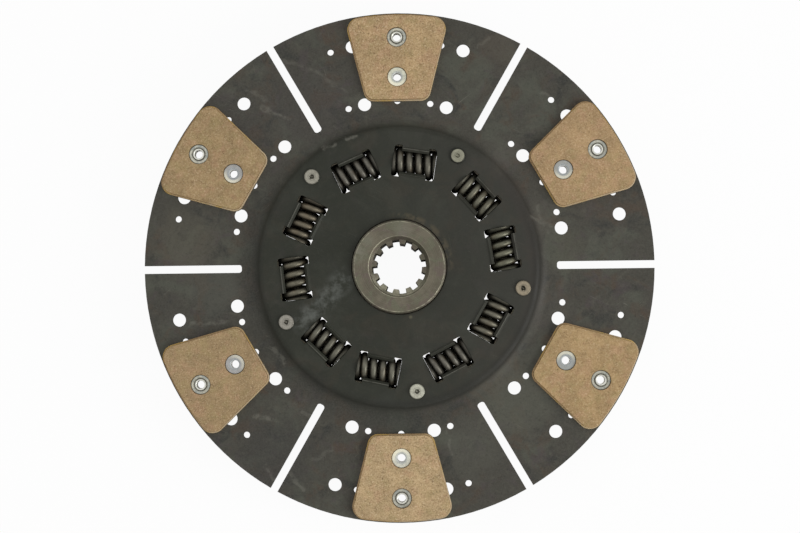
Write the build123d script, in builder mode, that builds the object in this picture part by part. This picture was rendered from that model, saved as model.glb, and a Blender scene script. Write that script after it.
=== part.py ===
from build123d import *

import os
from math import copysign, cos, pi, radians, sin, sqrt, tan

# Clutch disc with sintered friction pads and a torsion damper, in millimetres.
# It lies on the rear end of its hub: Z is the shaft's axis, Z = 0 is the hub's rear end face,
# +Z is the front, and the first friction pad is at +Y.

# Hub
hub_length = 40.0
hub_front_radius = 30.2
hub_rear_radius = 27.2
hub_front_proud = 3.5
hub_edge_chamfer = 1.0
spline_major_radius = 17.45
spline_minor_radius = 14.7
spline_spaces = 12
spline_space_width = 4.5
spline_phase = 7.1
bore_chamfer = 2.3
flange_thickness = 8.0
flange_radius = 84.5
flange_edge_chamfer = 0.6

# Pressed carrier disc and rear retainer plate
# The pocket and the friction washers take shares of the room between hub and windows
disc_radius = 165.0
carrier_thickness = 2.4
dish_depth = 5.5
shoulder_gap = 5.0
shoulder_run = 4.6
shoulder_outside_bend = 4.0
shoulder_foot_bend = 8.0
retainer_thickness = 2.4
retainer_overhang = 5.5
plate_hole_clearance = 0.8
pocket_slope_run = 6.0
pocket_inside_bend = 1.2
pocket_share = 0.511

# Friction washers and load spring, on both sides of the hub flange
friction_washer_thickness = 1.5
friction_washer_share = 0.73
thrust_washer_thickness = 1.0
thrust_washer_gap = 0.6
load_spring_thickness = 0.8
load_spring_height = 1.6
load_spring_gap = 1.6
washer_bore_clearance = 0.4

# Damper springs and their windows
spring_pairs = 5
spring_inset = 16.8
spring_span_angle = 23.2
spring_half_angle = 16.3
coil_outer_radius = 9.5
coil_wire_diameter = 4.4
coil_pitch = 6.0
coil_end_gap = 0.05
coil_blend_turns = 0.5
coil_tip_share = 0.25
coil_points_per_turn = 16
spring_end_gap = 0.2
flange_window_clearance = 0.3
plate_window_relief = 1.0
plate_window_corner = 2.3
rear_window_overlap = 0.2
rear_window_inset = 0.6
rear_window_corner = 1.5
lip_end_gap = 5.2
front_lip_angle = 43.0
rear_lip_angle = 35.0
lip_inside_bend = 0.8
lip_clearance = 0.4
lip_root = 0.8

# Stop pins
pin_inset = 3.5
pin_phase = 61.5
pin_body_radius = 4.9
pin_shank_radius = 4.0
pin_hole_clearance = 0.05
pin_head_radius = 5.0
pin_head_height = 1.4
pin_head_round = 0.6
pin_dimple_radius = 1.4
pin_dimple_depth = 1.0
twist_limit = 4.0
notch_side_clearance = 0.35
notch_floor_clearance = 0.75
notch_corner = 3.0

# Slots and holes in the friction ring
slot_shoulder_gap = 7.9
slot_width = 5.05
slot_corner = 1.9
inner_row_offset = 0.3
outer_row_share = 0.678
large_hole_diameter = 8.5
small_hole_diameter = 4.1
near_hole_angle = 11.4
far_hole_angle = 17.1

# Friction pads, their backing plates and rivets
pad_count = 6
pad_phase = 90.0
pad_shoulder_gap = 13.5
pad_inner_half_width = 20.3
pad_side_angle = 14.5
pad_edge_margin = 0.6
pad_inner_corner = 6.75
pad_outer_corner = 8.5
backing_thickness = 1.0
backing_rim = 0.9
pad_thickness = 3.0
pad_edge_round = 0.5
counterbore_radius = 6.45
counterbore_depth = 2.0
rivet_inner_share = 0.272
rivet_outer_share = 0.721
rivet_shank_radius = 4.0
rivet_bore_radius = 2.6
rivet_head_radius = 6.2
rivet_head_height = 1.2
rivet_flange_height = 0.7
rivet_tube_radius = 4.1
rivet_groove_width = 0.6
rivet_groove_depth = 0.35
rivet_tube_round = 0.5
rivet_mouth_round = 1.0
rivet_edge_round = 0.3
rivet_hole_clearance = 0.25

# Heights that follow from the sizes above
carrier_top = hub_length - hub_front_proud
carrier_inner = carrier_top - carrier_thickness
flange_top = carrier_inner - friction_washer_thickness
flange_bottom = flange_top - flange_thickness
retainer_inner = flange_bottom - friction_washer_thickness
thrust_bottom = retainer_inner - thrust_washer_thickness
pocket_floor = thrust_bottom - load_spring_height
retainer_outer = retainer_inner - retainer_thickness
spring_height = (carrier_inner + retainer_inner) / 2
ring_front = carrier_top - dish_depth
ring_rear = ring_front - carrier_thickness
front_pad_face = ring_front + backing_thickness + pad_thickness
rear_pad_face = ring_rear - backing_thickness - pad_thickness

# Damper radii and lengths, which follow from the flange's radius
pin_circle = flange_radius - pin_inset
spring_circle = flange_radius - spring_inset
retainer_radius = flange_radius + retainer_overhang
shoulder_start_radius = flange_radius + shoulder_gap
shoulder_end_radius = shoulder_start_radius + shoulder_run
spring_length = spring_circle * radians(spring_span_angle)
window_length = spring_length + 2 * spring_end_gap
flange_window_width = 2 * (coil_outer_radius + flange_window_clearance)
flange_window_corner = flange_window_clearance + spring_end_gap
plate_window_width = 2 * (coil_outer_radius + plate_window_relief)
windows_inner_radius = spring_circle - plate_window_width / 2
rear_window_width = 2 * (coil_outer_radius - rear_window_overlap)
lip_length = window_length - 2 * lip_end_gap
washer_room = windows_inner_radius - hub_front_radius
pocket_radius = hub_front_radius + pocket_share * washer_room

# Ring radii, which share out the width between the shoulder and the disc's edge
slot_inner_radius = shoulder_end_radius + slot_shoulder_gap
pad_inner_distance = shoulder_end_radius + pad_shoulder_gap
ring_width = disc_radius - pad_inner_distance
inner_row_radius = pad_inner_distance + inner_row_offset
outer_row_radius = pad_inner_distance + outer_row_share * ring_width
rivet_inner_circle = pad_inner_distance + rivet_inner_share * ring_width
rivet_outer_circle = pad_inner_distance + rivet_outer_share * ring_width

# Other radii and lengths that follow from the sizes above
front_hole_radius = hub_front_radius + plate_hole_clearance
rear_hole_radius = hub_rear_radius + plate_hole_clearance
coil_mean_radius = coil_outer_radius - coil_wire_diameter / 2
coil_closed_pitch = coil_wire_diameter + coil_end_gap
notch_half_width = pin_circle * sin(radians(twist_limit)) + pin_body_radius + notch_side_clearance
notch_floor_radius = pin_circle - pin_body_radius - notch_floor_clearance
backing_outer_radius = disc_radius - pad_edge_margin
pair_phase = pin_phase + 180 / spring_pairs
spring_angles = [
    pair_phase + pair * 360 / spring_pairs + side * spring_half_angle
    for pair in range(spring_pairs)
    for side in (-1, 1)
]

os.makedirs("parts", exist_ok=True)


def window_cut(width, corner, circle=spring_circle, length=window_length):
    """Draws the outlines of all damper windows in the sketch that is open."""
    for side in (-1, 1):
        with PolarLocations(circle, spring_pairs, pair_phase + side * spring_half_angle):
            RectangleRounded(width, length, corner)


def washer(bore_radius, edge_radius, bottom, height):
    """Makes a flat washer from its two radii, the height that it lies at and its thickness."""
    with BuildPart() as ring:
        with BuildSketch(Plane.XY.offset(bottom)):
            Circle(edge_radius)
            Circle(bore_radius, mode=Mode.SUBTRACT)
        extrude(amount=height)
    return ring.part


def lip_pair(thickness, inner_face, lip_angle):
    """Makes the two bent lips of one window, above a plate whose inner face is at Z = 0.
    X is the disc's radial direction. Each lip ends square to the spring and clear of it."""
    reach = coil_outer_radius + lip_clearance
    across = sin(radians(lip_angle))
    upward = cos(radians(lip_angle))
    tip, rise = reach * across, reach * upward - inner_face
    bend = thickness + lip_inside_bend
    straight = (rise - bend * (1 - upward)) / across
    root = tip + straight * upward + bend * across
    with BuildPart() as lips:
        for side in (-1, 1):
            with BuildSketch(Plane.XZ):
                with BuildLine():
                    under = CenterArc((side * root, bend), bend, 270, -side * lip_angle)
                    over = CenterArc((side * root, bend), lip_inside_bend, 270, -side * lip_angle)
                    outer_tip = (side * (tip + thickness * across), rise + thickness * upward)
                    Polyline(under @ 1, (side * tip, rise), outer_tip, over @ 1)
                    outside = side * (plate_window_width / 2 + lip_root)
                    Polyline(under @ 0, (outside, 0), (outside, thickness), over @ 0)
                make_face()
            extrude(amount=lip_length / 2, both=True)
    return lips.part


# Lips on the springs' windows in both plates
front_lips = lip_pair(carrier_thickness, carrier_inner - spring_height, front_lip_angle)
with BuildPart() as rear_lips:
    mirror(lip_pair(retainer_thickness, spring_height - retainer_inner, rear_lip_angle), about=Plane.XY)

# Carrier disc, pressed in one piece: raised centre, shoulder and friction ring
with BuildPart() as carrier_disc:
    with BuildSketch(Plane.XZ):
        with BuildLine():
            FilletPolyline(
                (front_hole_radius, carrier_top),
                (shoulder_start_radius, carrier_top),
                (shoulder_end_radius, ring_front),
                (disc_radius, ring_front),
                radius=(shoulder_outside_bend, shoulder_foot_bend),
            )
            offset(amount=carrier_thickness, side=Side.RIGHT)
        make_face()
    revolve(axis=Axis.Z)
    with BuildSketch(Plane.XY.offset(ring_rear)):
        window_cut(plate_window_width, plate_window_corner)
        with PolarLocations(pin_circle, spring_pairs, pin_phase):
            Circle(pin_shank_radius + pin_hole_clearance)
        with PolarLocations(slot_inner_radius, pad_count, pad_phase + 180 / pad_count):
            slot_reach = 2 * (disc_radius - slot_inner_radius)
            RectangleRounded(slot_reach, slot_width, slot_corner, align=(Align.MIN, Align.CENTER))
        for row in (inner_row_radius, outer_row_radius):
            for angle in (near_hole_angle, -far_hole_angle):
                with PolarLocations(row, pad_count, pad_phase + angle):
                    Circle(large_hole_diameter / 2)
                with PolarLocations(row, pad_count, pad_phase - angle):
                    Circle(small_hole_diameter / 2)
        with PolarLocations(inner_row_radius, pad_count, pad_phase):
            Circle(small_hole_diameter / 2)
        for circle in (rivet_inner_circle, rivet_outer_circle):
            with PolarLocations(circle, pad_count, pad_phase):
                Circle(rivet_shank_radius + rivet_hole_clearance)
    extrude(amount=carrier_top - ring_rear, mode=Mode.SUBTRACT)
    for angle in spring_angles:
        across = (spring_circle * cos(radians(angle)), spring_circle * sin(radians(angle)))
        with Locations(Location((*across, carrier_inner), (0, 0, angle))):
            add(front_lips)

# Rear retainer plate, with the pocket that holds the load spring
with BuildPart() as rear_retainer_plate:
    with BuildSketch(Plane.XZ):
        with BuildLine():
            FilletPolyline(
                (rear_hole_radius, pocket_floor),
                (pocket_radius, pocket_floor),
                (pocket_radius + pocket_slope_run, retainer_inner),
                (retainer_radius, retainer_inner),
                radius=retainer_thickness + pocket_inside_bend,
            )
            offset(amount=retainer_thickness, side=Side.RIGHT)
        make_face()
    revolve(axis=Axis.Z)
    with BuildSketch(Plane.XY.offset(retainer_inner)):
        window_cut(rear_window_width, rear_window_corner, spring_circle - rear_window_inset)
        window_cut(plate_window_width, lip_inside_bend, length=lip_length)
        with PolarLocations(pin_circle, spring_pairs, pin_phase):
            Circle(pin_shank_radius + pin_hole_clearance)
    extrude(amount=-retainer_thickness, mode=Mode.SUBTRACT)
    for angle in spring_angles:
        across = (spring_circle * cos(radians(angle)), spring_circle * sin(radians(angle)))
        with Locations(Location((*across, retainer_inner), (0, 0, angle))):
            add(rear_lips.part)

# Hub: splined barrel and flange in one piece
with BuildPart() as hub:
    with BuildSketch(Plane.XZ):
        with BuildLine():
            Polyline(
                (spline_minor_radius, 0),
                (hub_rear_radius, 0),
                (hub_rear_radius, flange_bottom),
                (flange_radius, flange_bottom),
                (flange_radius, flange_top),
                (hub_front_radius, flange_top),
                (hub_front_radius, hub_length),
                (spline_minor_radius, hub_length),
                close=True,
            )
        make_face()
    revolve(axis=Axis.Z)
    circles = hub.edges().filter_by(GeomType.CIRCLE)
    chamfer(circles.filter_by(lambda e: e.radius == flange_radius), flange_edge_chamfer)
    with BuildSketch(Plane.XY.offset(flange_bottom)):
        window_cut(flange_window_width, flange_window_corner)
        with PolarLocations(notch_floor_radius, spring_pairs, pin_phase):
            notch_reach = 2 * (flange_radius - notch_floor_radius)
            RectangleRounded(
                notch_reach, 2 * notch_half_width, notch_corner, align=(Align.MIN, Align.CENTER)
            )
    extrude(amount=flange_thickness, mode=Mode.SUBTRACT)
    with BuildSketch():
        with PolarLocations(0, spline_spaces, spline_phase):
            Rectangle(
                2 * spline_major_radius, spline_space_width, align=(Align.MIN, Align.CENTER)
            )
        Circle(spline_major_radius, mode=Mode.INTERSECT)
        Circle(spline_minor_radius)
    extrude(amount=hub_length, mode=Mode.SUBTRACT)
    for end in (0, hub_length):
        inward = 1 if end == 0 else -1
        with BuildSketch(Plane.XZ):
            with BuildLine():
                Polyline(
                    (0, end),
                    (spline_major_radius + bore_chamfer, end),
                    (spline_major_radius, end + inward * bore_chamfer),
                    (0, end + inward * bore_chamfer),
                    close=True,
                )
            make_face()
        revolve(axis=Axis.Z, mode=Mode.SUBTRACT)
    ends = hub.edges().filter_by(GeomType.CIRCLE).group_by(Axis.Z)
    chamfer(ends[0].sort_by(SortBy.RADIUS)[-1], hub_edge_chamfer)
    chamfer(ends[-1].sort_by(SortBy.RADIUS)[-1], hub_edge_chamfer)

# Friction washers, thrust washer and load spring
front_bore = hub_front_radius + washer_bore_clearance
rear_bore = hub_rear_radius + washer_bore_clearance
friction_washer_edge = hub_front_radius + friction_washer_share * washer_room
friction_washer_front = washer(
    front_bore, friction_washer_edge, flange_top, friction_washer_thickness
)
friction_washer_rear = washer(
    rear_bore, friction_washer_edge, retainer_inner, friction_washer_thickness
)
thrust_washer_edge = pocket_radius - thrust_washer_gap
thrust_washer = washer(rear_bore, thrust_washer_edge, thrust_bottom, thrust_washer_thickness)
with BuildPart() as load_spring:
    with BuildSketch(Plane.XZ):
        with BuildLine():
            load_spring_bore = rear_hole_radius
            load_spring_edge = pocket_radius - load_spring_gap
            Polyline(
                (load_spring_bore, thrust_bottom),
                (load_spring_bore, thrust_bottom - load_spring_thickness),
                (load_spring_edge, pocket_floor),
                (load_spring_edge, pocket_floor + load_spring_thickness),
                close=True,
            )
        make_face()
    revolve(axis=Axis.Z)

# Damper spring along Z, with a closed turn at each end, ground flat. Its middle is at +X.
coil_end_height = spring_length / 2 + coil_wire_diameter * (0.5 - coil_tip_share)
coil_blend_height = coil_blend_turns * (coil_pitch + coil_closed_pitch) / 2
coil_closed_turns = 1 - coil_blend_turns / 2
coil_closed_height = coil_closed_turns * coil_closed_pitch
coil_open_turns = (coil_end_height - coil_blend_height - coil_closed_height) / coil_pitch
coil_half_turns = coil_open_turns + coil_blend_turns + coil_closed_turns


def coil_height(turn):
    """Height of the wire's middle, a number of turns away from the middle of the spring."""
    past = max(0, abs(turn) - coil_open_turns)
    blend = min(past, coil_blend_turns)
    closing = blend**2 / (2 * coil_blend_turns) + past - blend
    height = coil_pitch * abs(turn) - (coil_pitch - coil_closed_pitch) * closing
    return copysign(height, turn)


coil_steps = round(2 * coil_half_turns * coil_points_per_turn)
coil_turns = [coil_half_turns * (2 * step / coil_steps - 1) for step in range(coil_steps + 1)]
with BuildPart() as coil:
    with BuildLine() as wire_path:
        Spline(
            *[
                (
                    coil_mean_radius * cos(2 * pi * turn),
                    coil_mean_radius * sin(2 * pi * turn),
                    coil_height(turn),
                )
                for turn in coil_turns
            ]
        )
    with BuildSketch(Plane(origin=wire_path.line @ 0, z_dir=wire_path.line % 0)):
        Circle(coil_wire_diameter / 2)
    sweep(path=wire_path.line, is_frenet=True)
    Cylinder(2 * coil_outer_radius, spring_length, mode=Mode.INTERSECT)

# Stop pin that spaces the two plates, riveted over at both ends
with BuildPart() as stop_pin:
    with BuildSketch(Plane.XZ):
        with BuildLine():
            Polyline(
                (0, retainer_outer - pin_head_height),
                (pin_head_radius, retainer_outer - pin_head_height),
                (pin_head_radius, retainer_outer),
                (pin_shank_radius, retainer_outer),
                (pin_shank_radius, retainer_inner),
                (pin_body_radius, retainer_inner),
                (pin_body_radius, carrier_inner),
                (pin_shank_radius, carrier_inner),
                (pin_shank_radius, carrier_top),
                (pin_head_radius, carrier_top),
                (pin_head_radius, carrier_top + pin_head_height),
                (0, carrier_top + pin_head_height),
                close=True,
            )
        make_face()
    revolve(axis=Axis.Z)
    rims = stop_pin.edges().filter_by(GeomType.CIRCLE).group_by(Axis.Z)
    fillet(rims[0] + rims[-1], pin_head_round)
    dimple_rise = pin_head_height + pin_dimple_radius - pin_dimple_depth
    with Locations((0, 0, retainer_outer - dimple_rise), (0, 0, carrier_top + dimple_rise)):
        Sphere(pin_dimple_radius, mode=Mode.SUBTRACT)
with BuildPart() as stop_pins:
    with PolarLocations(pin_circle, spring_pairs, pin_phase):
        add(stop_pin.part)


# Outline of a backing plate at +Y: straight inner edge, sides that widen outwards, round outer edge
side_rise = tan(radians(pad_side_angle))
side_start = pad_inner_half_width - side_rise * pad_inner_distance
side_square = 1 + side_rise**2
outer_reach = sqrt(backing_outer_radius**2 * side_square - side_start**2)
outer_corner_y = (outer_reach - side_rise * side_start) / side_square
outer_corner_x = side_start + side_rise * outer_corner_y
with BuildSketch() as backing_outline:
    with BuildLine():
        Polyline(
            (-outer_corner_x, outer_corner_y),
            (-pad_inner_half_width, pad_inner_distance),
            (pad_inner_half_width, pad_inner_distance),
            (outer_corner_x, outer_corner_y),
        )
        ThreePointArc(
            (outer_corner_x, outer_corner_y),
            (0, backing_outer_radius),
            (-outer_corner_x, outer_corner_y),
        )
    make_face()
    fillet(backing_outline.vertices().group_by(Axis.Y)[-1], pad_outer_corner)
    fillet(backing_outline.vertices().sort_by(Axis.Y)[:2], pad_inner_corner)
rivet_places = [(0, rivet_inner_circle), (0, rivet_outer_circle)]
rivet_hole_radius = rivet_shank_radius + rivet_hole_clearance

# Backing plate and sintered pad, lying on Z = 0 at +Y
with BuildPart() as backing_plate:
    with BuildSketch():
        add(backing_outline.sketch)
        with Locations(*rivet_places):
            Circle(rivet_hole_radius, mode=Mode.SUBTRACT)
    extrude(amount=backing_thickness)
with BuildPart() as friction_pad:
    with BuildSketch():
        add(backing_outline.sketch)
        offset(amount=-backing_rim)
    extrude(amount=pad_thickness)
    fillet(friction_pad.faces().sort_by(Axis.Z)[-1].edges(), pad_edge_round)
    with Locations(*[(x, y, pad_thickness) for x, y in rivet_places]):
        CounterBoreHole(rivet_hole_radius, counterbore_radius, counterbore_depth)

# Tubular rivet through both pads: smooth head at the front, rolled end at the rear
front_seat = front_pad_face - counterbore_depth
rear_seat = rear_pad_face + counterbore_depth
rolled_end = rear_seat - rivet_head_height
rolled_flange = rear_seat - rivet_flange_height
groove_floor = rolled_flange + rivet_groove_depth
groove_radius = rivet_tube_radius + rivet_groove_width
with BuildPart() as pad_rivet:
    with BuildSketch(Plane.XZ):
        with BuildLine():
            Polyline(
                (rivet_bore_radius, rolled_end),
                (rivet_tube_radius, rolled_end),
                (rivet_tube_radius, groove_floor),
                (groove_radius, groove_floor),
                (groove_radius, rolled_flange),
                (rivet_head_radius, rolled_flange),
                (rivet_head_radius, rear_seat),
                (rivet_shank_radius, rear_seat),
                (rivet_shank_radius, front_seat),
                (rivet_head_radius, front_seat),
                (rivet_head_radius, front_seat + rivet_head_height),
                (rivet_bore_radius, front_seat + rivet_head_height),
                close=True,
            )
        make_face()
    revolve(axis=Axis.Z)
    rims = pad_rivet.edges().filter_by(GeomType.CIRCLE).group_by(Axis.Z)
    fillet(rims[0], rivet_tube_round)
    fillet(rims[-1].sort_by(SortBy.RADIUS)[0], rivet_mouth_round)
    rims = pad_rivet.edges().filter_by(GeomType.CIRCLE).group_by(Axis.Z)
    fillet(rims[-1].sort_by(SortBy.RADIUS)[-1], rivet_edge_round)
with BuildPart() as pad_rivets_inner:
    with PolarLocations(rivet_inner_circle, pad_count, pad_phase):
        add(pad_rivet.part)
with BuildPart() as turned_rivet:
    mirror(pad_rivet.part, about=Plane.XY.offset((front_seat + rear_seat) / 2))
with BuildPart() as pad_rivets_outer:
    with PolarLocations(rivet_outer_circle, pad_count, pad_phase):
        add(turned_rivet.part)


def write(name, made):
    """Labels one finished piece and writes it to its file."""
    made.label = name
    export_step(made, f"parts/{name}.step")


write("carrier_disc", carrier_disc.part)
write("rear_retainer_plate", rear_retainer_plate.part)
write("hub", hub.part)
write("friction_washer_front", friction_washer_front)
write("friction_washer_rear", friction_washer_rear)
write("thrust_washer", thrust_washer)
write("load_spring", load_spring.part)
write("stop_pins", stop_pins.part)
write("pad_rivets_inner", pad_rivets_inner.part)
write("pad_rivets_outer", pad_rivets_outer.part)

# Damper springs, each lying along its window with its own turns facing the front alike
for number, angle in enumerate(spring_angles, 1):
    outward = Vector(cos(radians(angle)), sin(radians(angle)), 0)
    along = Vector(-outward.Y, outward.X, 0)
    centre = outward * spring_circle + Vector(0, 0, spring_height)
    with BuildPart() as damper_spring:
        with Locations(Plane(origin=centre, x_dir=(0, 0, -1), z_dir=along)):
            add(coil.part)
    write(f"damper_spring_{number:02d}", damper_spring.part)

# Backing plates and pads on both faces of the ring, numbered from +Y and counted the same way round
for number in range(1, pad_count + 1):
    turn = (0, 0, (number - 1) * 360 / pad_count)
    with BuildPart() as backing_plate_front:
        with Locations(Location((0, 0, ring_front), turn)):
            add(backing_plate.part)
    write(f"backing_plate_front_{number}", backing_plate_front.part)
    with BuildPart() as backing_plate_rear:
        with Locations(Location((0, 0, ring_rear - backing_thickness), turn)):
            add(backing_plate.part)
    write(f"backing_plate_rear_{number}", backing_plate_rear.part)
    with BuildPart() as friction_pad_front:
        with Locations(Location((0, 0, ring_front + backing_thickness), turn)):
            add(friction_pad.part)
    write(f"friction_pad_front_{number}", friction_pad_front.part)
    with BuildPart() as friction_pad_rear:
        mirror(friction_pad_front.part, about=Plane.XY.offset((ring_front + ring_rear) / 2))
    write(f"friction_pad_rear_{number}", friction_pad_rear.part)
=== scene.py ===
import math

import bpy
from mathutils import Matrix, Vector


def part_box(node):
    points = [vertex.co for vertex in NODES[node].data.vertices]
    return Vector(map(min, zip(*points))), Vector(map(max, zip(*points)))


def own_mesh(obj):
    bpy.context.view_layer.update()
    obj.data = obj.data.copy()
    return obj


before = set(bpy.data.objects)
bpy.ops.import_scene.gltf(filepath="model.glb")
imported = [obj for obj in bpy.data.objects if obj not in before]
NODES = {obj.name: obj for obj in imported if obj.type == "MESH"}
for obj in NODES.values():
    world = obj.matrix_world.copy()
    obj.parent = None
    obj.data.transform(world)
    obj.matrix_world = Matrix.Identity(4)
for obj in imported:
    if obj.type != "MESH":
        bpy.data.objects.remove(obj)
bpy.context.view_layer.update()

# One millimetre in the frame's metres. All sizes below are real ones in millimetres and degrees
MM = 0.001
DISC_RADIUS = 165.0
RING_FRONT = 31.0
PLATEAU_EDGE = 88.0
LIP_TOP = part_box("carrier_disc")[1][2] / MM
SPLINE_RADIUS = 17.45
HUB_FACE_INNER, HUB_FACE_OUTER = 19.75, 29.2
PIN_COUNT, PIN_PHASE, PIN_CIRCLE = 5, 61.5, 81.0
PAD_COUNT, PAD_PHASE = 6, 90.0
INNER_RIVET_CIRCLE, OUTER_RIVET_CIRCLE = 123.2, 149.0
# A circle of this radius round a pin or rivet takes in its head and no other
HEAD_REACH = 9.0

# The damper springs lie in pairs midway between the stop pins, one on each side of their pair's middle
PAIR_COUNT = PIN_COUNT
PAIR_PHASE = PIN_PHASE + 180 / PAIR_COUNT
HALF_PAIR = 16.3
SPRING_HEIGHT = 28.6


def linear(tone):
    """The linear colour of an sRGB tone given in 0 to 255."""
    def one(value):
        value /= 255
        return value / 12.92 if value <= 0.04045 else ((value + 0.055) / 1.055) ** 2.4
    return (*map(one, tone), 1.0)


def tinged(tone, red, green, blue):
    """A tone with its red, green and blue each multiplied by a share."""
    return tone[0] * red, tone[1] * green, tone[2] * blue


def levelled(tone, share):
    """A tone made darker or lighter, with all of its channels multiplied by one share."""
    return tinged(tone, share, share, share)


def spaced(count, phase, circle):
    """The points spaced evenly round a circle, anticlockwise from the phase in degrees."""
    angles = [math.radians(phase + number * 360 / count) for number in range(count)]
    return [(circle * math.cos(angle), circle * math.sin(angle)) for angle in angles]


class Finish:
    """A material made of nodes. Each method adds nodes and returns an output, so that calls nest.

    Places and sizes are in millimetres, and a share goes from zero to one.
    """

    def __init__(self, name):
        self.material = bpy.data.materials.new(name)
        self.material.use_nodes = True
        self.tree = self.material.node_tree
        self.shader = self.tree.nodes["Principled BSDF"]
        self.place = self.scaled(self.node("ShaderNodeTexCoord").outputs["Object"], 1 / MM)
        self.x, self.y, self.z = self.node("ShaderNodeSeparateXYZ", (self.place,)).outputs
        self.flat = self.join(self.x, self.y, 0.0)
        self.radius = self.length(self.flat)

    def feed(self, socket, value):
        """Links an output to a socket, or sets the socket to a plain value."""
        if isinstance(value, bpy.types.NodeSocket):
            self.tree.links.new(value, socket)
        else:
            socket.default_value = value

    def node(self, kind, inputs=(), **settings):
        """Adds a node with its settings and feeds its inputs, given in their order or by name or number."""
        made = self.tree.nodes.new(kind)
        for name, setting in settings.items():
            setattr(made, name, setting)
        for key, value in inputs.items() if isinstance(inputs, dict) else enumerate(inputs):
            self.feed(made.inputs[key], value)
        return made

    def math(self, operation, *values, clamp=False):
        return self.node("ShaderNodeMath", values, operation=operation, use_clamp=clamp).outputs[0]

    def product(self, first, *others):
        for other in others:
            first = self.math("MULTIPLY", first, other)
        return first

    def largest(self, first, *others):
        for other in others:
            first = self.math("MAXIMUM", first, other)
        return first

    def vector(self, operation, a, b):
        return self.node("ShaderNodeVectorMath", (a, b), operation=operation).outputs["Vector"]

    def scaled(self, arrow, factor):
        inputs = {"Vector": arrow, "Scale": factor}
        return self.node("ShaderNodeVectorMath", inputs, operation="SCALE").outputs["Vector"]

    def length(self, arrow):
        return self.node("ShaderNodeVectorMath", (arrow,), operation="LENGTH").outputs["Value"]

    def dot(self, a, b):
        return self.node("ShaderNodeVectorMath", (a, b), operation="DOT_PRODUCT").outputs["Value"]

    def join(self, x, y, z):
        return self.node("ShaderNodeCombineXYZ", (x, y, z)).outputs[0]

    def toward(self, x, y):
        """How far the place lies along a flat direction, times that direction's length."""
        return self.dot(self.flat, (x, y, 0.0))

    def span(self, value, low, high, to_low=0.0, to_high=1.0):
        """Turns a value that goes from low to high into a smooth step from to_low to to_high."""
        inputs = (value, low, high, to_low, to_high)
        return self.node("ShaderNodeMapRange", inputs, interpolation_type="SMOOTHSTEP").outputs[0]

    def fade(self, value, low, high):
        """One where a value is under low, falling to zero at high."""
        return self.span(value, low, high, 1.0, 0.0)

    def band(self, value, rise, full, fall, end):
        """One where a value is between full and fall, sinking to zero at rise and at end."""
        return self.product(self.span(value, rise, full), self.fade(value, fall, end))

    def near(self, point, reach, soft, place=None):
        """One inside reach of a point of the disc, falling to zero over soft millimetres."""
        away = self.length(self.vector("SUBTRACT", place or self.flat, (*point, 0.0)))
        return self.fade(away, reach, reach + soft)

    def stroke(self, start, end, reach, soft, place=None):
        """One near the line from start to end, falling to zero over soft millimetres."""
        run = Vector((*end, 0.0)) - Vector((*start, 0.0))
        offset = self.vector("SUBTRACT", place or self.flat, (*start, 0.0))
        share = self.math("DIVIDE", self.dot(offset, tuple(run)), run.length_squared, clamp=True)
        away = self.length(self.vector("SUBTRACT", offset, self.scaled(tuple(run), share)))
        return self.fade(away, reach, reach + soft)

    def around(self, count, phase, circle):
        """The offset from the nearest of the points spaced round a circle, and the distance to it."""
        step = 2 * math.pi / count
        angle = self.math("SUBTRACT", self.math("ARCTAN2", self.y, self.x), math.radians(phase) - step / 2)
        number = self.math("FLOOR", self.math("DIVIDE", angle, step))
        middle = self.math("ADD", self.product(number, step), math.radians(phase))
        point = self.join(self.math("COSINE", middle), self.math("SINE", middle), 0.0)
        offset = self.vector("SUBTRACT", self.flat, self.scaled(point, circle))
        return offset, self.length(offset)

    def noise(self, size, detail=3.0, rough=0.55, at=None, shift=0.0, bend=0.0):
        """Soft noise whose patches are about size millimetres across."""
        place = self.vector("ADD", at or self.place, (shift, shift * 0.7, shift * 1.3))
        form = {"Scale": 1 / size, "Detail": detail, "Roughness": rough, "Distortion": bend}
        return self.node("ShaderNodeTexNoise", {"Vector": place, **form}).outputs["Fac"]

    def cells(self, size, at):
        """Distance to the nearest of many scattered points, in cells of about size millimetres."""
        return self.node("ShaderNodeTexVoronoi", {"Vector": at, "Scale": 1 / size}).outputs["Distance"]

    def wander(self, size, detail, shifts, amount):
        """A flat offset between zero and amount each way, which drifts over about size millimetres."""
        first, second = [self.noise(size, detail, shift=shift) for shift in shifts]
        return self.scaled(self.join(first, second, 0.0), amount)

    def strayed(self, size, detail, shifts, amount):
        """The flat place led astray by up to half the amount each way, which makes outlines ragged."""
        moved = self.vector("ADD", self.flat, self.wander(size, detail, shifts, amount))
        return self.vector("SUBTRACT", moved, (amount / 2, amount / 2, 0.0))

    def scratches(self, degrees, length, width, amount, shift):
        """Thin wavy streaks in one direction. A lower amount leaves fewer of them."""
        turn = {"Vector": self.place, "Rotation": (0.0, 0.0, math.radians(degrees))}
        turned = self.node("ShaderNodeMapping", turn, vector_type="POINT").outputs[0]
        moved = self.vector("ADD", turned, (shift, shift, 0.0))
        drawn = self.vector("MULTIPLY", moved, (1 / length, 1 / width, 0.0))
        wavy = self.vector("ADD", drawn, self.wander(35, 1, (shift, shift + 9), 6.0))
        return self.span(self.noise(1.0, 2.0, 0.6, at=wavy), 0.78 - amount, 0.84 - amount)

    def mix(self, share, a, b):
        """The colour a with a share of b. The colour sockets go by number, as others have their names."""
        return self.node("ShaderNodeMix", {0: share, 6: a, 7: b}, data_type="RGBA").outputs[2]

    def between(self, share, a, b):
        """Goes from one tone to another."""
        return self.mix(share, linear(a), linear(b))

    def paint(self, colour, tone, *shares):
        """Lays a tone over a colour, as strongly as the product of the shares."""
        return self.mix(self.product(*shares), colour, linear(tone))

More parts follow.
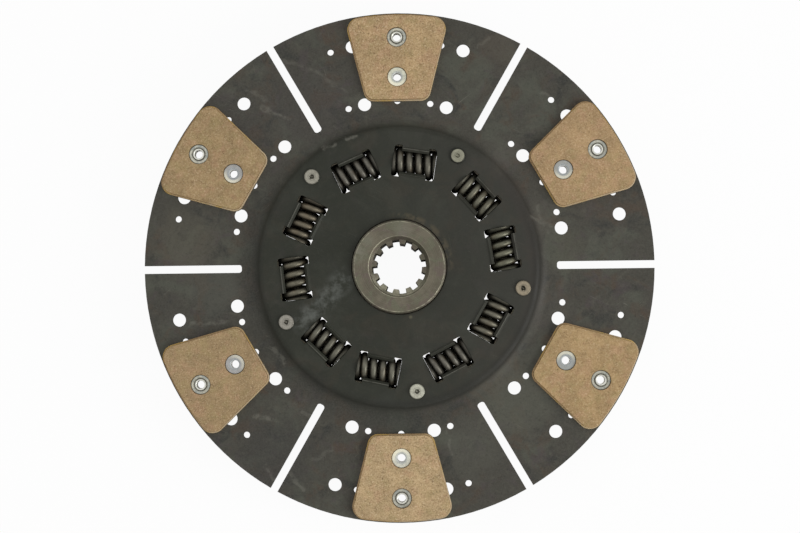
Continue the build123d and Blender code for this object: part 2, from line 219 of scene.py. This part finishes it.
    def bump(self, height, depth, under=None):
        """Raises the surface by height times depth millimetres, on top of what is under it."""
        inputs = {"Strength": 1.0, "Distance": depth * MM, "Height": height}
        if under is not None:
            inputs["Normal"] = under
        return self.node("ShaderNodeBump", inputs).outputs[0]

    def facing_up(self):
        """One where the surface faces straight up, zero where it stands upright."""
        normal = self.node("ShaderNodeNewGeometry").outputs["Normal"]
        return self.node("ShaderNodeSeparateXYZ", (normal,)).outputs["Z"]

    def rounded(self, size):
        """The surface direction with edges rounded over size millimetres, and how much of an edge it is."""
        soft = self.node("ShaderNodeBevel", {"Radius": size * MM}, samples=4).outputs[0]
        sharp = self.node("ShaderNodeNewGeometry").outputs["Normal"]
        return soft, self.span(self.dot(soft, sharp), 0.995, 0.9)

    def done(self, colour, roughness, metallic, normal, specular=0.5):
        """Feeds the surface shader and gives the finished material."""
        self.feed(self.shader.inputs["Base Color"], colour)
        self.feed(self.shader.inputs["Roughness"], roughness)
        self.feed(self.shader.inputs["Metallic"], metallic)
        self.feed(self.shader.inputs["Normal"], normal)
        self.shader.inputs["Specular IOR Level"].default_value = specular
        return self.material


# Cloudy stains of the coating: size, shift, the noise where they begin and are full, tone and strength
STAINS = (
    (30, 0, 0.46, 0.66, (77, 79, 69), 0.85),
    (24, 71, 0.50, 0.67, (73, 61, 50), 0.85),
    (19, 33, 0.51, 0.69, (47, 48, 45), 0.85),
    (13, 140, 0.53, 0.71, (72, 64, 65), 0.6),
    (7, 210, 0.52, 0.74, (84, 82, 72), 0.5),
)
# Broad patches: middle, reach, softness, tone and strength
PATCHES = (
    ((-138, 17), 12, 16, (86, 82, 70), 0.55),
    ((-118, -14), 9, 14, (82, 84, 76), 0.45),
    ((-82, -121), 14, 18, (56, 55, 52), 0.6),
    ((-112, 92), 12, 18, (60, 57, 54), 0.5),
    ((-60, 104), 14, 20, (64, 61, 58), 0.4),
    ((68, 74), 5, 12, (84, 82, 73), 0.5),
    ((94, 29), 4, 10, (84, 81, 72), 0.5),
    ((108, 8), 6, 12, (80, 79, 66), 0.45),
    ((95, -30), 5, 14, (76, 73, 66), 0.5),
    ((75, -86), 12, 20, (84, 85, 74), 0.6),
    ((47, -117), 10, 18, (80, 80, 71), 0.45),
    ((66, 139), 6, 12, (82, 74, 64), 0.5),
    ((118, 58), 14, 22, (72, 67, 58), 0.5),
    ((-8, -99), 8, 14, (58, 60, 54), 0.45),
)
# Pale wisps left by handling: start, end, half width and strength
PALE_WISPS = (
    ((-98, 117), (-84, 108), 0.30, 0.5),
    ((-88, 105), (-70, 95), 0.36, 0.6),
    ((-80, 138), (-56, 129), 0.30, 0.35),
    ((-56, 129), (-34, 114), 0.30, 0.35),
    ((-48, 77), (-41, 80.5), 0.24, 1.0),
    ((-33, 83), (-26, 85), 0.24, 0.9),
    ((-136, -36), (-112, -34), 0.30, 0.55),
    ((-82, -52), (-74, -61), 0.42, 0.6),
    ((-95, -95), (-80, -98), 0.36, 0.65),
    ((-64, -92), (-56, -98), 0.48, 0.5),
    ((-74, -131), (-63, -143), 0.42, 0.6),
    ((-88, -127), (-80, -139), 0.42, 0.5),
    ((-58, -124), (-44, -118), 0.30, 0.4),
    ((52, 143), (60, 147), 0.36, 0.4),
    ((86, 31), (99, 26), 0.30, 0.5),
    ((90, 39), (97, 20), 0.24, 0.4),
    ((93, 112), (100, 110), 0.30, 0.45),
    ((30, -106), (31.5, -121), 0.24, 0.6),
)
WISP_SOFTNESS = 1.7


def phosphated_steel(name):
    """Dark phosphated sheet steel: greenish on the raised centre, browner and stained on the ring."""
    f = Finish(name)
    from_edge = f.math("SUBTRACT", f.radius, PLATEAU_EDGE)
    ring = f.span(from_edge, 0, 10)
    # painted light: the raised centre is lighter towards the right
    centre = f.between(f.span(f.toward(1, 0.1), -50, 110), (43, 45, 37), (54, 54, 48))
    colour = f.paint(centre, (65, 63, 56), ring)
    where = f.span(ring, 0.0, 1.0, 0.18, 1.0)
    for size, shift, low, high, tone, amount in STAINS:
        stain = f.span(f.noise(size, 4.0, 0.62, shift=shift, bend=0.8), low, high, 0.0, amount)
        colour = f.paint(colour, tone, stain, where)
    drift = f.strayed(14, 3.0, (8, 60), 26.0)
    for middle, reach, soft, tone, amount in PATCHES:
        colour = f.paint(colour, tone, f.near(middle, reach, soft, drift), amount)
    # the raised centre's rim is brown violet at the right; painted shade darkens its slope at the lower
    # right and its foot at the lower left
    rim = f.band(from_edge, -8, -1, 2, 9)
    colour = f.paint(colour, (60, 53, 50), rim, f.span(f.x, 40, 80), f.span(f.y, -60, 0), 0.4)
    painted_slope_shade = f.band(from_edge, -4, 1, 3, 6)
    colour = f.paint(colour, (38, 38, 34), painted_slope_shade, f.span(f.toward(1, -1), 10, 110), 0.7)
    painted_foot_shade = f.band(from_edge, -2, 6, 9, 22)
    colour = f.paint(colour, (46, 47, 42), painted_foot_shade, f.fade(f.toward(1.1, 1), -90, -20), 0.6)
    # a brown arc and a pale spot beside the hub
    arc = f.product(f.fade(f.radius, 33, 36), f.span(f.toward(1, 1), 24, 40))
    colour = f.paint(colour, (92, 84, 66), arc, f.span(f.noise(4, shift=4), 0.42, 0.6), 0.55)
    colour = f.paint(colour, (116, 112, 92), f.near((7, -32.5), 0.5, 1.1), 0.4)
    # crystalline grain of the coating, coarse on the ring
    grain = f.noise(0.9, 3.0, 0.7)
    coarse = f.span(ring, 0.0, 1.0, 0.2, 1.0)
    colour = f.paint(colour, (98, 96, 88), f.span(grain, 0.3, 0.7, 0.0, 0.26), coarse)
    specks = f.span(f.noise(1.9, 3.0, 0.7, shift=44), 0.5, 0.75, 0.0, 0.34)
    colour = f.paint(colour, (38, 38, 34), specks, coarse)
    # fine handling scratches in patches, and the wisps that stand out
    lines = f.largest(
        f.scratches(25, 24, 0.5, 0.11, 3),
        f.scratches(-38, 17, 0.42, 0.10, 40),
        f.scratches(78, 20, 0.45, 0.09, 77),
    )
    patches = f.span(f.noise(40, 2.0, shift=120), 0.48, 0.62)
    lines = f.product(lines, patches, f.span(ring, 0.0, 1.0, 0.3, 0.9))
    bent = f.strayed(9, 2.0, (15, 90), 7.0)
    wisps = f.largest(*(
        f.product(f.stroke(start, end, reach, WISP_SOFTNESS, bent), amount)
        for start, end, reach, amount in PALE_WISPS
    ))
    broken = f.span(f.noise(4, 3.0, 0.7, shift=27), 0.34, 0.6)
    lines = f.largest(lines, f.product(wisps, broken))
    colour = f.paint(colour, (124, 122, 112), lines, 0.5)
    # a pale scuff left of the hub
    scuff = f.stroke((-62, -35), (-36, -8), 2.0, 8.5)
    colour = f.paint(colour, (116, 119, 114), scuff, f.span(f.noise(7, 4.0, 0.65), 0.36, 0.7), 0.5)
    # bare metal and a painted highlight make the free edges of the windows' lips paler, most on the outer
    # side
    lip_edge_wear_and_highlight = f.product(
        f.span(f.z, LIP_TOP - 0.45, LIP_TOP - 0.1),
        f.span(f.radius, 66, 72, 0.1, 0.8),
        f.span(f.noise(5, 3.0, 0.6, shift=39), 0.36, 0.56, 0.35, 1.0),
    )
    colour = f.paint(colour, (104, 103, 95), lip_edge_wear_and_highlight)
    # rubbed metal along pressed and cut edges
    edge_normal, edge = f.rounded(0.35)
    rubbed = f.product(edge, f.span(f.noise(5), 0.35, 0.65, 0.15, 0.7))
    colour = f.paint(colour, (96, 95, 87), rubbed)
    relief = f.math("ADD", f.product(grain, coarse, 0.45), f.product(lines, -0.5))
    normal = f.bump(relief, 0.04, f.bump(f.noise(9, 2.0), 0.06, edge_normal))
    rough = f.math("ADD", f.span(f.noise(26, shift=51), 0.3, 0.7, 0.5, 0.66), f.product(lines, -0.1))
    return f.done(colour, rough, f.product(rubbed, 0.5), normal, specular=0.22)


def turned_steel(name):
    """Hub steel, turned on its faces and dull with a thin film of oxide."""
    f = Finish(name)
    blotches = f.noise(9, 4.0, 0.62)
    colour = f.between(f.span(blotches, 0.36, 0.64), (102, 96, 82), (124, 117, 101))
    green = f.span(f.noise(10, 3.0, 0.6, shift=65, bend=0.6), 0.48, 0.6, 0.0, 0.65)
    colour = f.paint(colour, (110, 112, 92), green)
    violet = f.span(f.noise(7, 3.0, 0.6, shift=19, bend=0.6), 0.5, 0.62, 0.0, 0.7)
    colour = f.paint(colour, (112, 98, 92), violet)
    # pale places at the left, at the upper left and at the top of the face
    pale = f.largest(
        f.product(f.near((-27, 9), 1.5, 7), f.span(f.noise(3, 3.0, 0.6, shift=88), 0.35, 0.6)),
        f.product(f.near((-20, 17), 1.0, 5), 0.7),
        f.product(f.near((3, 24), 1.5, 7), 0.6),
    )
    colour = f.paint(colour, (140, 138, 124), pale, 0.6)
    # fine oxide, turning grooves and a few scores
    fine = f.noise(0.5, 3.0, 0.65)
    colour = f.paint(colour, (84, 81, 70), f.span(fine, 0.35, 0.75, 0.0, 0.45))
    grooves = f.noise(0.5, 2.0, 0.6, at=f.join(f.radius, 0.0, f.product(f.z, 0.35)))
    colour = f.paint(colour, (142, 139, 126), f.span(grooves, 0.4, 0.65, 0.0, 0.22))
    scores = f.largest(f.scratches(40, 9, 0.35, 0.14, 12), f.scratches(-55, 7, 0.3, 0.12, 31))
    colour = f.paint(colour, (156, 153, 141), scores, 0.4)
    # painted shade darkens the bore's chamfer, and painted light brightens it below, less so on the ends of
    # the teeth and at the left
    inner, outer = HUB_FACE_INNER, HUB_FACE_OUTER
    inside = f.fade(f.radius, inner - 1.15, inner - 0.25)
    colour = f.paint(colour, (70, 67, 56), inside, 0.3)
    painted_chamfer_light = f.product(
        inside,
        f.fade(f.toward(0.45, 1), -17, 4),
        f.span(f.noise(2.5, 3.0, 0.6, shift=71), 0.3, 0.6, 0.5, 1.0),
        f.span(f.radius, SPLINE_RADIUS - 0.25, SPLINE_RADIUS + 0.45, 0.45, 1.0),
        f.math("SUBTRACT", 1.0, f.product(f.near((-18, 0), 2, 8), 0.85)),
    )
    colour = f.paint(colour, (204, 200, 176), painted_chamfer_light, 0.8)
    # painted highlights: bright broken lines along the two edges of the face
    painted_inner_highlight = f.band(f.radius, inner - 0.35, inner, inner + 0.1, inner + 0.55)
    painted_inner_highlight = f.product(painted_inner_highlight, f.span(f.x, -16, 12, 1.0, 0.35))
    painted_outer_highlight = f.band(f.radius, outer - 0.6, outer - 0.1, outer, outer + 0.3)
    painted_outer_highlight = f.product(painted_outer_highlight, f.span(f.noise(2.2, 3.0, 0.7, shift=52), 0.38, 0.6, 0.1, 1.0))
    broken = f.span(f.noise(5, shift=5), 0.36, 0.58, 0.3, 1.0)
    colour = f.paint(colour, (176, 172, 150), f.largest(painted_inner_highlight, painted_outer_highlight), broken)
    edge_normal, edge = f.rounded(0.3)
    colour = f.paint(colour, (150, 147, 134), edge, 0.35)
    relief = f.math("ADD", grooves, f.product(scores, -0.4))
    normal = f.bump(relief, 0.02, f.bump(fine, 0.016, edge_normal))
    return f.done(colour, f.span(blotches, 0.3, 0.7, 0.45, 0.6), 0.85, normal)


# Colour cast of each damper spring's oil and temper, as shares of red, green and blue
SPRING_CASTS = (
    (0.98, 0.97, 0.94), (0.98, 0.97, 0.96), (1.02, 0.97, 0.89), (1.01, 0.99, 0.92), (0.98, 0.98, 0.94),
    (1.00, 1.00, 0.96), (0.97, 0.96, 0.95), (1.02, 1.01, 0.96), (1.00, 1.01, 0.93), (1.01, 1.01, 0.95),
)


def coil_steel(name, cast, shift, along):
    """Oil tempered spring wire: dark, patchy and faintly brown, with a painted highlight on the crowns and
    painted shade on the flanks and end turns.
    """
    f = Finish(name)
    patches = f.noise(5, 3.0, 0.6, shift=shift)
    colour = f.between(f.span(patches, 0.38, 0.66), tinged((66, 65, 59), *cast), tinged((93, 90, 82), *cast))
    brown = f.span(f.noise(6, shift=shift + 40), 0.5, 0.64, 0.0, 0.65)
    colour = f.paint(colour, tinged((84, 72, 56), *cast), brown)
    fine = f.noise(0.4, 3.0, 0.65)
    colour = f.paint(colour, (48, 46, 40), f.span(fine, 0.38, 0.75, 0.0, 0.5))
    # painted highlight brightens the crowns of the coils, and painted shade darkens their flanks
    facing = f.facing_up()
    above = f.math("SUBTRACT", f.z, SPRING_HEIGHT)
    painted_crown_highlight = f.product(
        f.span(facing, 0.62, 0.98),
        f.span(above, 4.5, 9),
        f.span(f.noise(3, 3.0, 0.6, shift=shift + 15), 0.3, 0.6, 0.45, 0.75),
    )
    colour = f.paint(colour, tinged((124, 122, 113), *cast), painted_crown_highlight)
    colour = f.paint(colour, (36, 34, 28), f.fade(facing, 0.35, 0.9), f.span(above, 0, 3), 0.5)
    # painted shade darkens the closed end turns, which lie deeper under the window's edges
    from_middle = f.math("ABSOLUTE", f.dot(f.flat, along))
    colour = f.paint(colour, (38, 37, 31), f.span(from_middle, 10.6, 11.6, 0.0, 0.62))
    normal = f.bump(fine, 0.02, f.bump(patches, 0.05))
    return f.done(colour, f.span(patches, 0.3, 0.7, 0.42, 0.56), 0.7, normal)


# Tone of each stop pin's head and how dark its struck centre is, anticlockwise from the first
PIN_TINTS = (
    ((158, 157, 138), 0.35),
    ((164, 161, 148), 0.85),
    ((162, 158, 148), 0.8),
    ((206, 205, 188), 0.8),
    ((164, 152, 130), 0.95),
)


def bare_pin_steel(name):
    """Riveted pin heads of bare steel, struck at the middle, with painted shade round the rim."""
    f = Finish(name)
    _, away = f.around(PIN_COUNT, PIN_PHASE, PIN_CIRCLE)
    heads = [f.near(point, HEAD_REACH, 1) for point in spaced(PIN_COUNT, PIN_PHASE, PIN_CIRCLE)]
    colour, dark = linear(PIN_TINTS[0][0]), 0.0
    for head, (tone, amount) in zip(heads, PIN_TINTS):
        colour = f.paint(colour, tone, head)
        dark = f.largest(dark, f.product(head, amount))
    spots = f.noise(1.6, 4.0, 0.65)
    colour = f.paint(colour, (104, 100, 88), f.span(spots, 0.4, 0.7, 0.0, 0.4))
    fine = f.noise(0.3, 2.0, 0.6)
    colour = f.paint(colour, (100, 96, 84), f.span(fine, 0.45, 0.8, 0.0, 0.4))
    # dark struck centre with a bright core, a faint ring round it, and painted shade round the rim
    ragged = f.math("ADD", away, f.span(f.noise(0.9, 2.0, 0.6, shift=14), 0.35, 0.65, -0.35, 0.35))
    colour = f.paint(colour, (54, 52, 43), f.fade(ragged, 1.35, 1.95), dark)
    colour = f.paint(colour, (150, 147, 132), f.span(ragged, 0.25, 0.6, 0.55, 0.0))
    colour = f.paint(colour, (92, 89, 79), f.band(away, 1.9, 2.3, 2.4, 2.8), 0.35)
    colour = f.paint(colour, (70, 68, 60), f.span(away, 4.0, 4.9, 0.0, 0.6))
    # the first pin's head looks smallest: painted shade makes its rim as dark as the plate
    colour = f.paint(colour, (50, 50, 45), heads[0], f.span(away, 3.9, 4.5))
    edge_normal, _ = f.rounded(0.4)
    normal = f.bump(spots, 0.05, f.bump(fine, 0.02, edge_normal))
    return f.done(colour, 0.45, 0.75, normal)


# Tone of each inner rivet's head, with the direction in degrees and the strength of its painted yellowish
# highlight, anticlockwise from the top
HEAD_TINTS = (
    ((216, 216, 196), -110, 1.0),
    ((168, 167, 164), -115, 0.7),
    ((176, 175, 173), 40, 0.5),
    ((228, 227, 210), 110, 1.0),
    ((168, 171, 167), 95, 0.65),
    ((168, 169, 164), -85, 0.65),
)


def dished_zinc(name):
    """Zinc plated heads of the inner rivets: a pale dome with a painted yellowish highlight, dished and
    bluer round the hole, and a bore lightened by painted light.
    """
    f = Finish(name)
    offset, away = f.around(PAD_COUNT, PAD_PHASE, INNER_RIVET_CIRCLE)
    # painted highlight: a yellowish gleam on each head, on the side given in HEAD_TINTS
    colour, painted_gleam = linear(HEAD_TINTS[0][0]), 0.0
    for point, (tone, degrees, amount) in zip(spaced(PAD_COUNT, PAD_PHASE, INNER_RIVET_CIRCLE), HEAD_TINTS):
        head = f.near(point, HEAD_REACH, 1)
        colour = f.paint(colour, tone, head)
        side = (math.cos(math.radians(degrees)), math.sin(math.radians(degrees)), 0.0)
        lit = f.span(f.dot(offset, side), -1.5, 4.5)
        painted_gleam = f.largest(painted_gleam, f.product(head, lit, amount))
    spots = f.noise(2.2, 3.0, 0.6)
    colour = f.paint(colour, (150, 148, 140), f.span(spots, 0.4, 0.65, 0.0, 0.4))
    colour = f.paint(colour, (156, 164, 168), f.span(away, 2.9, 4.6, 0.6, 0.0))
    # painted light: the bore's wall is near white, where it lies in shade
    colour = f.paint(colour, (236, 236, 232), f.fade(away, 2.6, 2.9))
    colour = f.paint(colour, (250, 246, 222), painted_gleam, f.span(away, 3.5, 4.9), 0.9)
    edge_normal, _ = f.rounded(0.3)
    normal = f.bump(f.noise(0.25, 2.0, 0.6), 0.012, edge_normal)
    metallic = f.span(away, 2.8, 4.2, 0.0, 0.55)
    return f.done(colour, f.span(spots, 0.3, 0.7, 0.36, 0.48), metallic, normal)


def rolled_zinc(name):
    """Zinc plated outer rivets: a flat flange, a dark groove and the bright rolled end of the tube."""
    f = Finish(name)
    _, away = f.around(PAD_COUNT, PAD_PHASE, OUTER_RIVET_CIRCLE)
    spots = f.noise(1.8, 3.0, 0.6)
    colour = f.between(f.span(spots, 0.4, 0.65), (208, 205, 188), (180, 178, 164))
    colour = f.paint(colour, (240, 240, 232), f.fade(away, 3.0, 3.5))
    colour = f.paint(colour, (72, 72, 68), f.band(away, 3.4, 3.8, 4.1, 4.6), 0.85)
    blue = f.span(f.noise(3.5, 3.0, 0.6, shift=26), 0.46, 0.6, 0.0, 0.6)
    colour = f.paint(colour, (160, 168, 166), blue, f.span(away, 4.4, 4.8))
    # painted shade darkens the head's outer edge
    colour = f.paint(colour, (84, 80, 68), f.span(away, 5.6, 6.1, 0.0, 0.6))
    edge_normal, _ = f.rounded(0.25)
    normal = f.bump(f.noise(0.25, 2.0, 0.6), 0.012, edge_normal)
    return f.done(colour, f.span(spots, 0.3, 0.7, 0.34, 0.46), 0.8, normal)


def copper_plate(name):
    """Thin copper plate on the steel backing, dulled to a golden brown."""
    f = Finish(name)
    spots = f.noise(3.5, 4.0, 0.6)
    colour = f.between(f.span(spots, 0.38, 0.66), (200, 176, 132), (172, 146, 104))
    # painted shade makes each plate browner at its upper left, and painted light makes it paler at its lower
    # right
    offset, _ = f.around(PAD_COUNT, PAD_PHASE, (INNER_RIVET_CIRCLE + OUTER_RIVET_CIRCLE) / 2)
    painted_light_lean = f.math("ADD", f.dot(offset, (0.8, -0.6, 0.0)), f.span(spots, 0.3, 0.7, -12.0, 12.0))
    colour = f.paint(colour, (136, 100, 60), f.span(painted_light_lean, -24, 6, 0.45, 0.0))
    yellow = f.span(f.noise(12, 3.0, 0.6, shift=66), 0.5, 0.6, 0.0, 0.6)
    colour = f.paint(colour, (196, 164, 82), yellow)
    colour = f.paint(colour, (222, 208, 182), f.span(painted_light_lean, 8, 26, 0.0, 0.5))
    # painted shade darkens the sheared outline to brown
    edge_normal, edge = f.rounded(0.6)
    colour = f.paint(colour, (84, 58, 34), edge, 0.85)
    normal = f.bump(f.noise(0.4, 2.0, 0.6), 0.02, edge_normal)
    return f.done(colour, 0.5, 0.3, normal)


# Each pad's tone, with the left pads darker partly by painted shade, and how pitted it is, anticlockwise
# from the top
PAD_TINTS = (
    ((180, 153, 114), 0.95),
    ((161, 137, 101), 0.35),
    ((162, 138, 103), 0.35),
    ((183, 158, 120), 0.95),
    ((169, 142, 103), 0.25),
    ((171, 143, 106), 0.3),
)


def sintered_friction(name, tone, pitted, shift):
    """Pressed and sintered metal powder: tan, open grained, with dark pores and pale grains."""
    f = Finish(name)
    broad = f.noise(13, 4.0, 0.62, shift=shift)
    colour = f.between(f.span(broad, 0.35, 0.65), levelled(tone, 0.95), levelled(tone, 1.05))
    rosy = f.span(f.noise(9, 3.0, 0.6, shift=shift + 50), 0.48, 0.66, 0.0, 0.4)
    colour = f.paint(colour, (184, 146, 116), rosy)
    olive = f.span(f.noise(7, 3.0, 0.6, shift=shift + 80), 0.5, 0.66, 0.0, 0.4)
    colour = f.paint(colour, (158, 142, 98), olive)
    grain = f.noise(1.0, 4.0, 0.78, shift=shift)
    colour = f.paint(colour, (108, 82, 54), f.span(grain, 0.34, 0.51, 0.34 + 0.22 * pitted, 0.0))
    colour = f.paint(colour, (220, 199, 166), f.span(grain, 0.53, 0.69, 0.0, 0.40 + 0.32 * pitted))
    # pores as scattered pits, and short cracks between the grains
    scattered = f.cells(2.1, f.vector("ADD", f.place, f.scaled(f.join(broad, grain, 0.0), 3.0)))
    pits = f.product(f.fade(scattered, 0.10, 0.24), f.span(f.noise(4, shift=shift), 0.42, 0.6), pitted)
    veins = f.math("ABSOLUTE", f.math("SUBTRACT", f.noise(3.4, shift=shift + 7, bend=1.6), 0.5))
    broken = f.span(f.noise(5, 3.0, 0.7, shift=shift + 19), 0.46, 0.62)
    open_grain = f.largest(pits, f.product(f.fade(veins, 0.004, 0.018), broken, 0.6))
    colour = f.paint(colour, (94, 70, 46), open_grain, 0.65)
    # the outline is worn round, and painted shade darkens it where it meets the copper
    edge_normal, _ = f.rounded(0.3)
    facing = f.math("ABSOLUTE", f.facing_up())
    painted_edge_shade = f.product(f.fade(facing, 0.5, 0.97), f.span(facing, 0.05, 0.35, 0.25, 1.0))
    colour = f.paint(colour, (92, 64, 36), painted_edge_shade, f.span(broad, 0.35, 0.65, 0.55, 0.85))
    relief = f.math("SUBTRACT", grain, f.product(open_grain, 0.8))
    normal = f.bump(relief, 0.16, f.bump(broad, 0.08, edge_normal))
    return f.done(colour, 0.82, 0.0, normal, specular=0.2)


# Tones of the washers inside the damper, which are hardly seen
FIBRE = (62, 56, 50)
BLUED_STEEL = (56, 58, 62)


def plain_grain(name, tone):
    """Pressed fibre or blued steel, with a fine grain."""
    f = Finish(name)
    grain = f.noise(0.7, 3.0, 0.7)
    colour = f.between(f.span(grain, 0.35, 0.7), tone, levelled(tone, 1.3))
    return f.done(colour, 0.7, 0.0, f.bump(grain, 0.03), specular=0.3)


def wear(material, *nodes):
    """Gives nodes of the frame their finish."""
    for node in nodes:
        for slot in NODES[node].material_slots:
            slot.material = material


wear(phosphated_steel("phosphated_steel"), "carrier_disc", "rear_retainer_plate")
wear(turned_steel("turned_steel"), "hub")
wear(bare_pin_steel("bare_pin_steel"), "stop_pins")
wear(dished_zinc("dished_zinc"), "pad_rivets_inner")
wear(rolled_zinc("rolled_zinc"), "pad_rivets_outer")
wear(plain_grain("washer_fibre", FIBRE), "friction_washer_front", "friction_washer_rear")
wear(plain_grain("blued_steel", BLUED_STEEL), "thrust_washer", "load_spring")

# How far the noise is shifted from one pad or spring to the next, so that no two look alike
PAD_SHIFT = 31
SPRING_SHIFT = 12

copper = copper_plate("copper_plate")
for number, (tone, pitted) in enumerate(PAD_TINTS, 1):
    wear(copper, f"backing_plate_front_{number}", f"backing_plate_rear_{number}")
    sinter = sintered_friction(f"sintered_friction_{number}", tone, pitted, PAD_SHIFT * number)
    wear(sinter, f"friction_pad_front_{number}", f"friction_pad_rear_{number}")

# Each damper spring has a finish of its own and a mesh of its own
for number, cast in enumerate(SPRING_CASTS, 1):
    pair, side = divmod(number - 1, 2)
    angle = math.radians(PAIR_PHASE + pair * 360 / PAIR_COUNT + (HALF_PAIR if side else -HALF_PAIR))
    along = (-math.sin(angle), math.cos(angle), 0.0)
    spring = f"damper_spring_{number:02d}"
    wear(coil_steel(f"coil_steel_{number:02d}", cast, SPRING_SHIFT * number, along), spring)
    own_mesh(NODES[spring])

# The photograph's frame, with the disc's axis and radius in it
WIDTH_PIXELS, HEIGHT_PIXELS = 800, 533
CENTRE_X_PIXEL, CENTRE_Y_PIXEL = 399.29, 266.99
DISC_RADIUS_PIXELS = 254.46
# The camera looks down from this offset from the point that it aims at, in metres, turned a little
CAMERA_OFFSET = Vector((0.014, -0.041, 1.25))
ROLL = math.radians(0.67)
SENSOR = 36.0
LENS = 86.96


def link(name, data):
    """Puts a new object with this data into the scene."""
    made = bpy.data.objects.new(name, data)
    bpy.context.scene.collection.objects.link(made)
    return made


metres_per_pixel = DISC_RADIUS * MM / DISC_RADIUS_PIXELS
aim = Vector((
    (WIDTH_PIXELS / 2 - CENTRE_X_PIXEL) * metres_per_pixel,
    (CENTRE_Y_PIXEL - HEIGHT_PIXELS / 2) * metres_per_pixel,
    RING_FRONT * MM,
))
camera = link("camera", bpy.data.cameras.new("camera"))
camera.data.lens = LENS
camera.data.sensor_width = SENSOR
camera.location = aim + CAMERA_OFFSET
back = CAMERA_OFFSET.normalized()
right = Vector((math.sin(ROLL), math.cos(ROLL), 0.0)).cross(back).normalized()
camera.rotation_mode = "QUATERNION"
camera.rotation_quaternion = Matrix((right, back.cross(right), back)).transposed().to_quaternion()
bpy.context.scene.camera = camera

# Square soft lamps that face the disc, strongest from the lower right of the picture: place, size and power
LAMPS = {
    "key_lamp": ((1.35, -0.57, 0.9), 1.0, 17),
    "top_lamp": ((-0.3, 0.5, 1.9), 1.8, 5),
    "fill_lamp": ((-1.3, 0.6, 0.9), 1.2, 3),
}
for name, (place, size, power) in LAMPS.items():
    lamp = link(name, bpy.data.lights.new(name, "AREA"))
    lamp.data.shape, lamp.data.size, lamp.data.energy = "SQUARE", size, power
    lamp.location = place
    lamp.rotation_mode = "QUATERNION"
    lamp.rotation_quaternion = Vector(place).to_track_quat("Z", "Y")

# The sky and the floor are white in the picture, while the part is lit by a dimmer sky and a grey floor
WHITE = (1.0, 1.0, 1.0, 1.0)
SKY_ON_PART, SKY_IN_PICTURE = 0.5, 1.0
FLOOR_GREY = (0.8, 0.8, 0.8, 1.0)
FLOOR_GLOW = 0.95
FLOOR_SIZE = 6.0


def by_ray(tree, other, seen):
    """One value for rays that the camera sees, also through something clear, and another for the rest."""
    path = tree.nodes.new("ShaderNodeLightPath")
    either = tree.nodes.new("ShaderNodeMath")
    either.operation = "MAXIMUM"
    tree.links.new(path.outputs["Is Camera Ray"], either.inputs[0])
    tree.links.new(path.outputs["Is Transmission Ray"], either.inputs[1])
    step = tree.nodes.new("ShaderNodeMapRange")
    step.inputs["To Min"].default_value = other
    step.inputs["To Max"].default_value = seen
    tree.links.new(either.outputs[0], step.inputs["Value"])
    return step.outputs[0]


world = bpy.data.worlds.new("world")
bpy.context.scene.world = world
world.use_nodes = True
sky = world.node_tree
sky.nodes["Background"].inputs["Color"].default_value = WHITE
sky.links.new(by_ray(sky, SKY_ON_PART, SKY_IN_PICTURE), sky.nodes["Background"].inputs["Strength"])


def pale_floor_material(name):
    """A pale matt surface that glows white to the camera, with a faint shadow on it."""
    material = bpy.data.materials.new(name)
    material.use_nodes = True
    tree = material.node_tree
    tree.nodes.remove(tree.nodes["Principled BSDF"])
    matt = tree.nodes.new("ShaderNodeBsdfDiffuse")
    matt.inputs["Color"].default_value = FLOOR_GREY
    glow = tree.nodes.new("ShaderNodeEmission")
    glow.inputs["Color"].default_value = WHITE
    both = tree.nodes.new("ShaderNodeMixShader")
    sources = (by_ray(tree, 0.0, FLOOR_GLOW), matt.outputs[0], glow.outputs[0])
    for source, socket in zip(sources, both.inputs):
        tree.links.new(source, socket)
    tree.links.new(both.outputs[0], tree.nodes["Material Output"].inputs["Surface"])
    return material


half = FLOOR_SIZE / 2
floor = link("floor", bpy.data.meshes.new("floor"))
corners = [(-half, -half, 0), (half, -half, 0), (half, half, 0), (-half, half, 0)]
floor.data.from_pydata(corners, [], [(0, 1, 2, 3)])
floor.data.materials.append(pale_floor_material("floor"))

bpy.context.scene.view_settings.view_transform = "Standard"
